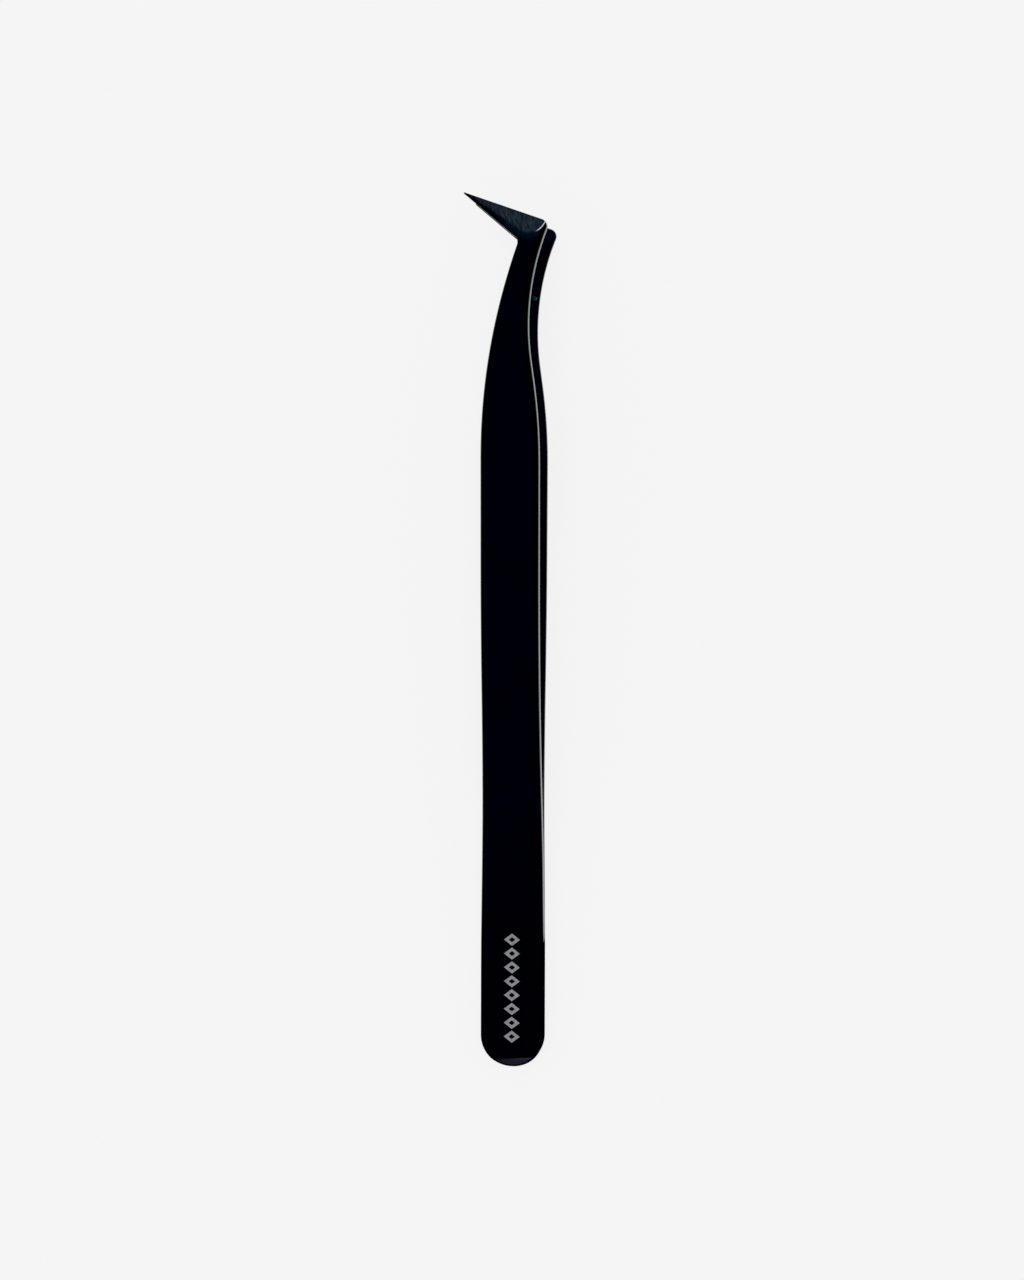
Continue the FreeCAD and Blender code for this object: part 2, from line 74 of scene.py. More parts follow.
WAIST_Y = 26.0
WAIST_LENGTH = 22.0
WAIST_RADIUS = (WAIST_LENGTH**2 + ((BUTT_HALF - ARM_HALF) / 2) ** 2) / (BUTT_HALF - ARM_HALF)
SHOULDER_RADIUS = 86.0
SHOULDER = Vector((ARM_HALF - SHOULDER_RADIUS, 80.5))
TAPER = rad(8.0)
TAPER_LENGTH = 3.0
SIDE_RADIUS = 90.0
SIDE = Vector((SIDE_RADIUS - ARM_HALF, 81.5))
THROAT_X = 1.1
THROAT_RADIUS = 0.8
NECK_TOP = SIDE.y + math.sqrt(SIDE_RADIUS**2 - (SIDE.x - THROAT_X) ** 2)
APEX = Vector((-7.25, 120.1))                  # where the boot's two edges would meet
TOP_ANGLE = rad(19.6)
LOWER_ANGLE = rad(40.2)
BLUNTING = 0.5                                 # how far short of the apex the tip ends
HEEL_X = 5.8
HEEL_RADIUS = 1.1


def line(start, end):
    return {"kind": "line", "start": Vector(start), "end": Vector(end)}


def arc(centre, radius, side, convex, start_y, end_y):
    """Arc monotone in y: side is +1 for its right half and -1 for its left half."""
    return {
        "kind": "arc", "centre": Vector(centre), "radius": radius, "side": side, "convex": convex,
        "start": Vector((0, start_y)), "end": Vector((0, end_y)),
    }


def tip_round():
    """Centre and radius of the round that ends the tip, touching both edges of the boot."""
    half_angle = (LOWER_ANGLE - TOP_ANGLE) / 2
    lie = (LOWER_ANGLE + TOP_ANGLE) / 2
    radius = BLUNTING / (1 / math.sin(half_angle) - 1)
    inwards = Vector((math.cos(lie), -math.sin(lie)))
    return APEX + inwards * (BLUNTING + radius), radius


def right_chain():
    """Back edge of the arm: butt, shoulder, neck, heel and the boot's top edge."""
    outwards = Vector((math.cos(TAPER), math.sin(TAPER)))
    upwards = Vector((-math.sin(TAPER), math.cos(TAPER)))
    taper_start = SHOULDER + outwards * SHOULDER_RADIUS
    taper_end = taper_start + upwards * TAPER_LENGTH
    heel_corner = Vector((HEEL_X, APEX.y - (HEEL_X - APEX.x) * math.tan(TOP_ANGLE)))
    to_heel = heel_corner - taper_end
    neck_radius = to_heel.length_squared / (2 * to_heel.dot(outwards))
    neck = taper_end + outwards * neck_radius
    along = Vector((math.cos(TOP_ANGLE), -math.sin(TOP_ANGLE)))
    inwards = Vector((-math.sin(TOP_ANGLE), -math.cos(TOP_ANGLE)))
    offset = heel_corner + inwards * HEEL_RADIUS - neck
    reach = neck_radius + HEEL_RADIUS
    half = offset.dot(along)
    heel = neck + offset - along * (half + math.sqrt(half**2 - offset.length_squared + reach**2))
    heel_start = neck + (heel - neck) * (neck_radius / reach)
    heel_end = heel - inwards * HEEL_RADIUS
    tip, tip_radius = tip_round()
    tip_start = tip - inwards * tip_radius
    low = WAIST_Y - WAIST_LENGTH
    high = WAIST_Y + WAIST_LENGTH
    shoulder_y = BUTT_END + BUTT_HALF
    return [
        arc((0, shoulder_y), BUTT_HALF, 1, True, BUTT_END, shoulder_y),
        line((BUTT_HALF, shoulder_y), (BUTT_HALF, low)),
        arc((BUTT_HALF - WAIST_RADIUS, low), WAIST_RADIUS, 1, True, low, WAIST_Y),
        arc((ARM_HALF + WAIST_RADIUS, high), WAIST_RADIUS, -1, False, WAIST_Y, high),
        line((ARM_HALF, high), (ARM_HALF, SHOULDER.y)),
        arc(SHOULDER, SHOULDER_RADIUS, 1, True, SHOULDER.y, taper_start.y),
        line(taper_start, taper_end),
        arc(neck, neck_radius, -1, False, taper_end.y, heel_start.y),
        arc(heel, HEEL_RADIUS, 1, True, heel_start.y, heel_end.y),
        line(heel_end, tip_start),
        arc(tip, tip_radius, 1, True, tip_start.y, tip.y + tip_radius),
    ]


def left_chain():
    """Front edge of the arm: butt, neck, throat and the boot's lower edge."""
    low = WAIST_Y - WAIST_LENGTH
    high = WAIST_Y + WAIST_LENGTH
    shoulder_y = BUTT_END + BUTT_HALF
    corner = Vector((THROAT_X, APEX.y - (THROAT_X - APEX.x) * math.tan(LOWER_ANGLE)))
    reach = THROAT_RADIUS / math.tan((math.pi / 2 + LOWER_ANGLE) / 2)
    throat = Vector((THROAT_X - THROAT_RADIUS, corner.y - reach))
    throat_end = corner + (APEX - corner).normalized() * reach
    tip, tip_radius = tip_round()
    tip_start = tip - Vector((math.sin(LOWER_ANGLE), math.cos(LOWER_ANGLE))) * tip_radius
    return [
        arc((0, shoulder_y), BUTT_HALF, -1, True, BUTT_END, shoulder_y),
        line((-BUTT_HALF, shoulder_y), (-BUTT_HALF, low)),
        arc((WAIST_RADIUS - BUTT_HALF, low), WAIST_RADIUS, -1, True, low, WAIST_Y),
        arc((-ARM_HALF - WAIST_RADIUS, high), WAIST_RADIUS, 1, False, WAIST_Y, high),
        line((-ARM_HALF, high), (-ARM_HALF, SIDE.y)),
        arc(SIDE, SIDE_RADIUS, -1, True, SIDE.y, NECK_TOP),
        line((THROAT_X, NECK_TOP), (THROAT_X, throat.y)),
        arc(throat, THROAT_RADIUS, 1, False, throat.y, throat_end.y),
        line(throat_end, tip_start),
        arc(tip, tip_radius, -1, True, tip_start.y, tip.y + tip_radius),
    ]


def on_chain(chain, y, inward_sign):
    """Point of a chain at y, and the unit normal that points into the arm."""
    piece = next((item for item in chain if y <= item["end"].y + 1e-9), chain[-1])
    if piece["kind"] == "line":
        start, end = piece["start"], piece["end"]
        share = (y - start.y) / (end.y - start.y)
        direction = (end - start).normalized()
        normal = Vector((direction.y, -direction.x))
        if normal.x * inward_sign < 0:
            normal = -normal
        return start.lerp(end, share), normal
    centre, radius = piece["centre"], piece["radius"]
    rise = y - centre.y
    across = math.sqrt(max(0.0, radius**2 - rise**2))
    point = Vector((centre.x + piece["side"] * across, y))
    normal = (centre - point) / radius
    return point, normal if piece["convex"] else -normal


# --------------------------------------------------------------------- heights, seen from the side

FLEXURE_Y = 17.0                               # where the arms part
FLARE_RADIUS = 116.0
FLARE = rad(6.8)
FLARE_LENGTH = 15.0
BELLY_RADIUS = 204.0
LIE = rad(1.0)
PIVOT = Vector((frame["joints"][0]["pos_m"][1] / MM, frame["joints"][0]["pos_m"][2] / MM - PARTING))
GRIP_START = 111.5
BOOT_Y = 105.0                                 # everything ground on the boot lies past this
FACET_FALL = math.tan(rad(1.5))
FACET_TURN = rad(25.0)
FACET_START = Vector((THROAT_X, NECK_TOP))
BUTT_FACET_Y = BUTT_END + 1.3
BUTT_FACET_FALL = math.tan(rad(18.0))

BEND_END = Vector((FLEXURE_Y + FLARE_RADIUS * math.sin(FLARE), FLARE_RADIUS * (1 - math.cos(FLARE))))
FLARE_END = BEND_END + Vector((math.cos(FLARE), math.sin(FLARE))) * FLARE_LENGTH
BELLY = FLARE_END + Vector((math.sin(FLARE), -math.cos(FLARE))) * BELLY_RADIUS
BELLY_END = BELLY + Vector((-math.sin(LIE), math.cos(LIE))) * BELLY_RADIUS


def strip_height(y, offset):
    """Height above the parting plane of the surface that lies offset outside the strip's inner face."""
    bend_y = BEND_END.x - offset * math.sin(FLARE)
    flare_y = FLARE_END.x - offset * math.sin(FLARE)
    belly_y = BELLY_END.x - offset * math.sin(LIE)
    if y <= FLEXURE_Y:
        return offset
    if y <= bend_y:
        return FLARE_RADIUS - math.sqrt((FLARE_RADIUS - offset) ** 2 - (y - FLEXURE_Y) ** 2)
    if y <= flare_y:
        return BEND_END.y + (y - BEND_END.x) * math.tan(FLARE) + offset / math.cos(FLARE)
    if y <= belly_y:
        return BELLY.y + math.sqrt((BELLY_RADIUS + offset) ** 2 - (y - BELLY.x) ** 2)
    return BELLY_END.y + (y - BELLY_END.x) * math.tan(LIE) + offset / math.cos(LIE)


def grip_plane():
    """Foot and slope of the plane that the closing turn lays flat on the parting plane."""
    run = GRIP_START - PIVOT.x
    rise = strip_height(GRIP_START, 0) - PIVOT.y
    angle = math.atan2(rise, run) + math.asin(PIVOT.y / math.hypot(run, rise))
    return PIVOT.x + math.sin(angle) * PIVOT.y, (1 - math.cos(angle)) * PIVOT.y, math.tan(angle)


GRIP_Y, GRIP_Z, GRIP_SLOPE = grip_plane()
FACET_Z = strip_height(FACET_START.y, THICKNESS)


def inner_height(x, y):
    """Inner face above the parting plane, with the grip face ground along the boot."""
    height = strip_height(y, 0)
    return height if y < GRIP_START else max(height, GRIP_Z + (y - GRIP_Y) * GRIP_SLOPE)


def outer_height(x, y):
    """Outer face above the parting plane, with the ground slopes at the butt's end and on the boot."""
    height = strip_height(y, THICKNESS)
    if y < BUTT_FACET_Y:
        return height - (BUTT_FACET_Y - y) * BUTT_FACET_FALL
    if y < BOOT_Y:
        return height
    run = (y - FACET_START.y) * math.cos(FACET_TURN) - (x - FACET_START.x) * math.sin(FACET_TURN)
    return min(height, FACET_Z - run * FACET_FALL)


# ----------------------------------------------------------------------------------- the arm's mesh

# along Y: width of the rounded shoulder on the back edge, its depth, and both on the front edge
SHOULDERS = np.array([
    (-10.0, 0.34, 0.30, 0.34, 0.30),
    (10.0, 0.36, 0.34, 0.34, 0.32),
    (40.0, 0.60, 0.45, 0.34, 0.32),
    (58.0, 0.64, 0.48, 0.34, 0.32),
    (72.0, 0.92, 0.52, 0.34, 0.32),
    (98.0, 0.84, 0.48, 0.34, 0.32),
    (104.0, 1.15, 0.55, 0.34, 0.32),
    (108.5, 1.38, 0.60, 0.32, 0.28),
    (111.5, 1.15, 0.58, 0.24, 0.20),
    (114.3, 0.60, 0.46, 0.16, 0.14),
    (115.4, 0.24, 0.22, 0.14, 0.12),
    (120.0, 0.14, 0.12, 0.12, 0.10),
])
EDGE_BREAK = 0.05          # rounding of the edges of the inner face
GUARD = 0.14               # flat border that keeps the faces flat where they meet a rounding
WIDEST_ROUND = 0.62        # most of the room at the tip that a rounding may take up
WIDEST_EDGE = 0.30
WIDEST_GUARD = 0.16
DEEPEST_ROUND = 0.5        # most of the wall's height that a rounding may take up
DEEPEST_EDGE = 0.2
NECK_Y = 80.0              # past this the slices are closer together
HEEL_Y = 111.0             # and past this closer still
ARM_STEP = 2.0
NECK_STEP = 0.8
HEEL_STEP = 0.1
SMALL_RADIUS = 2.0         # arcs tighter than this get slices of their own
SMALL_ARC_SLICES = 10
CLOSEST_SLICES = 0.012
END_CLEARANCE = 0.01       # how far short of the tip's very end the last slice is
ROUND_STEPS = 7
BREAK_STEPS = 3
WALL_SHARES = (0.4, 0.8)   # where the side wall is divided, as shares of its height
OUTER_COLUMNS = 14
INNER_COLUMNS = 10


def stations(right, left):
    """Heights along Y at which the arm is sliced, closer together where it curves."""
    end_angles = np.arange(0, 90, 3.0)
    end_round = [BUTT_END + BUTT_HALF * (1 - math.cos(rad(angle))) for angle in end_angles]
    ends = sorted({round(piece["end"].y, 6) for piece in right + left})
    values = set(end_round)
    spans = list(zip([BUTT_END + BUTT_HALF] + ends[:-1], ends))
    for start, end in spans:
        if end <= start:
            continue
        step = ARM_STEP if start < NECK_Y else NECK_STEP if start < HEEL_Y else HEEL_STEP
        count = max(1, math.ceil((end - start) / step))
        values.update(start + (end - start) * index / count for index in range(count + 1))
    for piece in right + left:
        if piece["kind"] == "arc" and piece["radius"] < SMALL_RADIUS:
            span = piece["end"].y - piece["start"].y
            shares = [index / SMALL_ARC_SLICES for index in range(SMALL_ARC_SLICES + 1)]
            values.update(piece["start"].y + span * share for share in shares)
    values.update((BUTT_FACET_Y, BUTT_FACET_Y + 0.1, GRIP_START))
    ordered = sorted(values)
    kept = [ordered[0]]
    for y in ordered[1:]:
        if y - kept[-1] > CLOSEST_SLICES:
            kept.append(y)
    return kept


def quarter(steps):
    """Shares of width and depth around a quarter round, from the wall to the face."""
    angles = np.linspace(0, math.pi / 2, steps + 1)
    return [(1 - math.cos(angle), 1 - math.sin(angle)) for angle in angles]


def section(y, right, left):
    """One slice of the arm, as a closed ring of points.

    Each point is (x, y, height, face, outer, rim), where the last three say which region it is in:
    a flat face, the outer side, and the broken edge of the inner face.
    """
    right_point, right_normal = on_chain(right, y, -1)
    left_point, left_normal = on_chain(left, y, 1)
    room = math.inf
    if y > BOOT_Y:
        gap = right_point.x - left_point.x
        room = gap / (1 / abs(left_normal.x) + 1 / abs(right_normal.x))
    row = [float(np.interp(y, SHOULDERS[:, 0], SHOULDERS[:, column])) for column in range(1, 5)]

    def columns(point, normal, width, depth):
        """One edge of the slice, from the inner face's border round to the outer face's."""
        width = min(width, WIDEST_ROUND * room)
        edge = min(EDGE_BREAK, WIDEST_EDGE * room)
        guard = min(GUARD, WIDEST_GUARD * room)
        wall = outer_height(point.x, point.y) - inner_height(point.x, point.y)
        depth = min(depth, DEEPEST_ROUND * wall)
        edge_depth = min(EDGE_BREAK, DEEPEST_EDGE * wall)
        made = []
        place = point + normal * (edge + guard)
        made.append((place.x, place.y, inner_height(place.x, place.y), 1, 0, 0))
        for share, drop in reversed(quarter(BREAK_STEPS)):
            place = point + normal * (edge * share)
            height = inner_height(place.x, place.y) + edge_depth * drop
            made.append((place.x, place.y, height, 1 if drop == 0 else 0, 0, 1 if drop > 0.2 else 0))
        for share in WALL_SHARES:
            low = inner_height(point.x, point.y) + edge_depth
            high = outer_height(point.x, point.y) - depth
            made.append((point.x, point.y, low + (high - low) * share, 0, 0, 0))
        for share, drop in quarter(ROUND_STEPS):
            place = point + normal * (width * share)
            flat = 1 if drop < 1e-9 else 0
            made.append((place.x, place.y, outer_height(place.x, place.y) - depth * drop, flat, 1, 0))
        place = point + normal * (width + guard)
        made.append((place.x, place.y, outer_height(place.x, place.y), 1, 1, 0))
        return made

    right_side = columns(right_point, right_normal, row[0], row[1])
    left_side = columns(left_point, left_normal, row[2], row[3])
    outer_row = across(right_side[-1], left_side[-1], OUTER_COLUMNS, outer_height, 1)
    inner_row = across(left_side[0], right_side[0], INNER_COLUMNS, inner_height, 0)
    return right_side + outer_row + left_side[::-1] + inner_row


def across(start, end, count, height, outer):
    """Points across a face between two border points."""
    made = []
    for index in range(1, count):
        share = index / count
        x = start[0] + (end[0] - start[0]) * share
        y = start[1] + (end[1] - start[1]) * share
        made.append((x, y, height(x, y), 1, outer, 0))
    return made


def build_arm(name, mirror):
    """One arm as a single skin, with its regions stored on its points."""
    right = right_chain()
    left = left_chain()
    last = right[-1]["end"].y - END_CLEARANCE
    slices = [y for y in stations(right, left) if y < last] + [last]
    data = np.array([section(y, right, left) for y in slices])
    count_rows, count_columns = data.shape[:2]
    points = data[:, :, :3].reshape(-1, 3).copy()
    flags = data[:, :, 3:].reshape(-1, 3)
    points[:, 2] = PARTING + (-points[:, 2] if mirror else points[:, 2])
    faces = []
    for row in range(count_rows - 1):
        for column in range(count_columns):
            following = (column + 1) % count_columns
            a = row * count_columns + column
            b = row * count_columns + following
            quad = (a, b, b + count_columns, a + count_columns)
            faces.append(quad if not mirror else quad[::-1])
    faces += tip_cap(count_rows - 1, count_columns, mirror)
    mesh = bpy.data.meshes.new(name)
    mesh.from_pydata((points * MM).tolist(), [], faces)
    for index, attribute in enumerate(("face", "outer", "rim")):
        layer = mesh.attributes.new(attribute, "FLOAT", "POINT")
        layer.data.foreach_set("value", flags[:, index].astype(np.float32))
    arm = bpy.data.objects.new(name, mesh)
    bpy.context.scene.collection.objects.link(arm)
    work = bmesh.new()
    work.from_mesh(mesh)
    bmesh.ops.remove_doubles(work, verts=work.verts, dist=1e-6)
    bmesh.ops.dissolve_degenerate(work, edges=work.edges, dist=1e-7)
    bmesh.ops.recalc_face_normals(work, faces=work.faces)
    work.to_mesh(mesh)
    work.free()
    return arm


def tip_cap(last_row, count, mirror):
    """Faces that close the blunted tip, pairing each back-edge column with its front-edge one."""
    base = last_row * count
    side = 1 + BREAK_STEPS + 1 + len(WALL_SHARES) + ROUND_STEPS + 1 + 1
    right = [base + index for index in range(side)]
    left = [base + side + OUTER_COLUMNS - 1 + index for index in range(side)][::-1]
    outer = [base + side + index for index in range(OUTER_COLUMNS - 1)]
    inner = [base + 2 * side + OUTER_COLUMNS - 1 + index for index in range(INNER_COLUMNS - 1)]
    quads = [(right[i], left[i], left[i + 1], right[i + 1]) for i in range(side - 1)]
    quads.append(tuple([right[-1]] + [left[-1]] + outer[::-1]))
    quads.append(tuple([left[0]] + [right[0]] + inner[::-1]))
    return quads if not mirror else [quad[::-1] for quad in quads]


def drill(arm, centre, radius, depth):
    """Blind hole for the guide pin, cut upwards into the inner face."""
    cutter_mesh = bpy.data.meshes.new("socket_cutter")
    work = bmesh.new()
    bmesh.ops.create_cone(
        work, cap_ends=True, segments=40, radius1=radius * MM, radius2=radius * MM, depth=depth * MM,
        matrix=Matrix.Translation(centre * MM),
    )
    work.to_mesh(cutter_mesh)
    work.free()
    cutter = bpy.data.objects.new("socket_cutter", cutter_mesh)
    bpy.context.scene.collection.objects.link(cutter)
    hole = arm.modifiers.new("socket", "BOOLEAN")
    hole.operation = "DIFFERENCE"
    hole.solver = "EXACT"
    hole.object = cutter
    apply_modifiers(arm)
    bpy.data.objects.remove(cutter)


def apply_modifiers(piece):
    """Bakes a piece's modifiers into its mesh."""
    graph = bpy.context.evaluated_depsgraph_get()
    mesh = bpy.data.meshes.new_from_object(piece.evaluated_get(graph))
    piece.modifiers.clear()
    piece.data = mesh


def keep_rest_place(piece):
    """Stores each vertex's place in millimetres, so that the finish stays put while the arm flexes."""
    mesh = piece.data
    place = np.empty(len(mesh.vertices) * 3, np.float32)
    mesh.vertices.foreach_get("co", place)
    layer = mesh.attributes.new("rest", "FLOAT_VECTOR", "POINT")
    layer.data.foreach_set("vector", place / MM)


def smooth(piece, angle):
    """Smooth shading, with edges sharper than the angle in degrees kept sharp."""
    for polygon in piece.data.polygons:
        polygon.use_smooth = True
    piece.data.set_sharp_from_angle(angle=rad(angle))


# ----------------------------------------------------------------------------------- material nodes


class Nodes:
    """Short calls for building a node tree."""

    def __init__(self, name):
        self.material = bpy.data.materials.new(name)
        self.material.use_nodes = True
        self.tree = self.material.node_tree
        self.tree.nodes.clear()

    def add(self, kind, inputs=None, **settings):
        node = self.tree.nodes.new(kind)
        for key, value in settings.items():
            setattr(node, key, value)
        for key, value in (inputs or {}).items():
            self.put(node.inputs[key], value)
        return node

    def put(self, socket, value):
        """Link or set a socket, widening a number or a colour to the socket's own size."""
        if isinstance(value, bpy.types.NodeSocket):
            self.tree.links.new(value, socket)
        elif hasattr(socket.default_value, "__len__") and not hasattr(value, "__len__"):
            socket.default_value = [value] * len(socket.default_value)
        elif hasattr(value, "__len__") and len(value) == 3 and len(socket.default_value) == 4:
            socket.default_value = (*value, 1.0)
        else:
            socket.default_value = value

    def math(self, operation, *values):
        return self.add("ShaderNodeMath", dict(enumerate(values)), operation=operation).outputs[0]

    def vector(self, operation, *values):
        """Vector arithmetic: a number for a dot product or a length, else a vector."""
        node = self.add("ShaderNodeVectorMath", dict(enumerate(values)), operation=operation)
        return node.outputs["Value"] if operation in ("DOT_PRODUCT", "LENGTH") else node.outputs[0]

    def attribute(self, name, output="Fac"):
        return self.add("ShaderNodeAttribute", attribute_name=name).outputs[output]

    def step(self, value, low, high):
        """0 at low and beyond, 1 at high and beyond, smooth between. Low may be the larger."""
        node = self.add(
            "ShaderNodeMapRange", {"Value": value, "From Min": low, "From Max": high},
            interpolation_type="SMOOTHSTEP",
        )
        return node.outputs["Result"]

    def mix(self, share, first, second):
        node = self.add("ShaderNodeMix", data_type="RGBA")
        self.put(node.inputs[0], share)
        self.put(node.inputs[6], first)
        self.put(node.inputs[7], second)
        return node.outputs[2]

    def noise(self, place, scale, detail=4.0, roughness=0.55):
        node = self.add("ShaderNodeTexNoise", {"Vector": place, "Scale": scale, "Detail": detail,
                                               "Roughness": roughness})
        return node.outputs["Fac"]

    def times(self, first, *others):
        """The values multiplied together."""
        for other in others:
            first = self.math("MULTIPLY", first, other)
        return first

    def plus(self, first, *others):
        """The values added together."""
        for other in others:
            first = self.math("ADD", first, other)
        return first

    def slant_gloss(self):
        """Gloss that is nothing seen square on and grows as the surface is seen at a slant."""
        slant = self.add("ShaderNodeLayerWeight", {"Blend": 0.5}).outputs["Facing"]
        return self.times(self.step(slant, 0.15, 0.45), 0.5)

    def finish(self, **inputs):
        shader = self.add("ShaderNodeBsdfPrincipled")
        for key, value in inputs.items():
            self.put(shader.inputs[key.replace("_", " ")], value)
        output = self.add("ShaderNodeOutputMaterial")
        self.tree.links.new(shader.outputs[0], output.inputs[0])
        return self.material


NAVY = (0.0003, 0.0001, 0.0043)
NAVY_DEEP = (0.00005, 0.00005, 0.0012)
# a deep black; on the rounded edges and side walls it is painted shade
DEEP_BLACK_AND_EDGE_SHADE = (0.0001, 0.0001, 0.0002)
BLUE_STEEL = (0.0008, 0.0042, 0.0095)
# ground-face greys: the finish's own streaked tone, lightened as painted reflection
SLATE_AND_REFLECTION = (0.0125, 0.0205, 0.0310)
SLATE_AND_REFLECTION_DARK = (0.0030, 0.0070, 0.0135)
SLATE_AND_REFLECTION_LIGHT = (0.0270, 0.0390, 0.0560)
SLATE_AND_REFLECTION_PURPLE = (0.0100, 0.0075, 0.0140)
BUTT_SLATE_AND_REFLECTION = (0.0085, 0.0095, 0.0165)
# painted highlight on the heel's edge of the ground face
PAINTED_GLINT_WHITE = (0.55, 0.58, 0.60)
WORN_STEEL = (0.16, 0.17, 0.18)
MARK_DARK = (0.12, 0.125, 0.13)
MARK_LIGHT = (0.34, 0.35, 0.36)
FRONT_SHEEN = (0.78, 0.95, 0.98)
# the rear arm's sheen tint is darkened as painted shade
REAR_SHADED_SHEEN = (0.10, 0.14, 0.16)

GRIND_CENTRE = (2.75, 116.5, 0.0)              # of the round end of the boot's ground face
GRIND_REACH = 2.65                             # half its width
GRIND_DIRECTION = (-0.810, 0.586, 0.0)         # from that round end towards the tip

MARK_COUNT = 8
MARK_PITCH = 2.1
MARK_START = -6.37
MARK_HALF_LENGTH = 0.92
MARK_HALF_WIDTH = 1.2
MARK_HOLLOW = 0.42                             # share of each lozenge that is left dark


class ArmNodes(Nodes):
    """Nodes that know where on the arm they are, which region that is and how it is brushed."""

    def __init__(self, name):
        super().__init__(name)
        self.rest = self.attribute("rest", "Vector")
        self.face = self.attribute("face")
        self.outer = self.attribute("outer")
        self.rim = self.attribute("rim")
        parts = self.add("ShaderNodeSeparateXYZ", {0: self.rest})
        self.x, self.y = parts.outputs[0], parts.outputs[1]
        self.flat_place = self.vector("MULTIPLY", self.rest, (1, 1, 0))
        self.on_face = self.step(self.face, 0.55, 1.0)
        self.streaks = self.noise(self.brushed(90, 14.0, 0.22), 1.0, 5.0, 0.6)

    def brushed(self, degrees, across_scale, along_scale):
        """Place stretched into streaks that run at an angle from X, in the XY plane."""
        turned = self.add(
            "ShaderNodeMapping",
            {"Vector": self.rest, "Rotation": (0, 0, -rad(degrees)), "Scale": (1, 1, 1)},
            vector_type="POINT",
        ).outputs[0]
        return self.vector("MULTIPLY", turned, (along_scale, across_scale, across_scale))


def ground_distance(arm):
    """How far inside the ground face a point is: the face is a band with a round end at the heel."""
    from_centre = arm.vector("SUBTRACT", arm.flat_place, GRIND_CENTRE)
    along = arm.math("MAXIMUM", arm.vector("DOT_PRODUCT", from_centre, GRIND_DIRECTION), 0.0)
    axis = arm.add("ShaderNodeVectorMath", {0: GRIND_DIRECTION, "Scale": along}, operation="SCALE")
    away = arm.vector("LENGTH", arm.vector("SUBTRACT", from_centre, axis.outputs[0]))
    return arm.math("SUBTRACT", GRIND_REACH, away)


def lozenge_mark(arm):
    """A plain row of lozenges along the butt, as a laser would leave them."""
    phase = arm.math("PINGPONG", arm.math("SUBTRACT", arm.y, MARK_START), MARK_PITCH / 2)
    along = arm.math("DIVIDE", arm.math("SUBTRACT", MARK_PITCH / 2, phase), MARK_HALF_LENGTH)
    sideways = arm.math("DIVIDE", arm.math("ABSOLUTE", arm.x), MARK_HALF_WIDTH)
    shape = arm.plus(along, sideways)
    ring = arm.times(arm.math("LESS_THAN", shape, 1.0), arm.math("GREATER_THAN", shape, MARK_HOLLOW))
    past_start = arm.math("GREATER_THAN", arm.y, MARK_START)
    before_end = arm.math("LESS_THAN", arm.y, MARK_START + MARK_COUNT * MARK_PITCH)
    return arm.times(ring, past_start, before_end, arm.outer, arm.on_face)


def coat_colour(arm):
    """Navy-black coating: mottled, duller towards the butt, and near-black on the rounded edges and
    side walls as painted shade.
    """
    speckle = arm.noise(arm.rest, 7.0, 3.0, 0.6)
    cloud = arm.noise(arm.rest, 0.16, 3.0)
    tone = arm.plus(arm.times(arm.streaks, 0.40), arm.times(cloud, 0.30), arm.times(speckle, 0.50))
    coat = arm.mix(arm.step(tone, 0.45, 0.78), NAVY_DEEP, NAVY)
    coat = arm.mix(arm.step(arm.y, -8.0, 38.0), arm.mix(0.5, DEEP_BLACK_AND_EDGE_SHADE, coat), coat)
    # painted shade: the rounded edges and side walls take the deep black
    return arm.mix(arm.step(arm.face, 0.4, 1.0), DEEP_BLACK_AND_EDGE_SHADE, coat)


def heat_blue(arm, loose, is_front):
    """Share of blue on the heel, just outside the ground face. The rear arm shows less of it."""
    beyond_neck = arm.step(arm.y, 111.8, 112.9) if is_front else arm.step(arm.y, 113.0, 115.2)
    strength = 1.0 if is_front else 0.7
    near_grind = arm.step(loose, -1.5, -0.1)
    return arm.times(near_grind, beyond_neck, arm.on_face, arm.step(arm.x, -3.2, 1.2), strength)


def slate_and_reflection_colour(arm, grit):
    """Grey of the boot's ground face, partly its own cross-ground finish and partly painted reflection;
    darker and more purple towards the tip.
    """
    slate_and_reflection = arm.mix(arm.step(grit, 0.38, 0.50), SLATE_AND_REFLECTION_DARK, SLATE_AND_REFLECTION)
    slate_and_reflection = arm.mix(arm.step(grit, 0.50, 0.64), slate_and_reflection, SLATE_AND_REFLECTION_LIGHT)
    purple = arm.step(arm.noise(arm.rest, 0.9, 2.0), 0.40, 0.62)
    dusk = arm.mix(purple, SLATE_AND_REFLECTION_DARK, SLATE_AND_REFLECTION_PURPLE)
    dusk = arm.mix(arm.step(grit, 0.46, 0.62), dusk, SLATE_AND_REFLECTION)
    slate_and_reflection = arm.mix(arm.times(arm.step(arm.x, 1.0, -6.0), 0.55), slate_and_reflection, dusk)
    return arm.mix(arm.step(arm.x, -4.8, -6.3), slate_and_reflection, arm.mix(0.72, slate_and_reflection, DEEP_BLACK_AND_EDGE_SHADE))


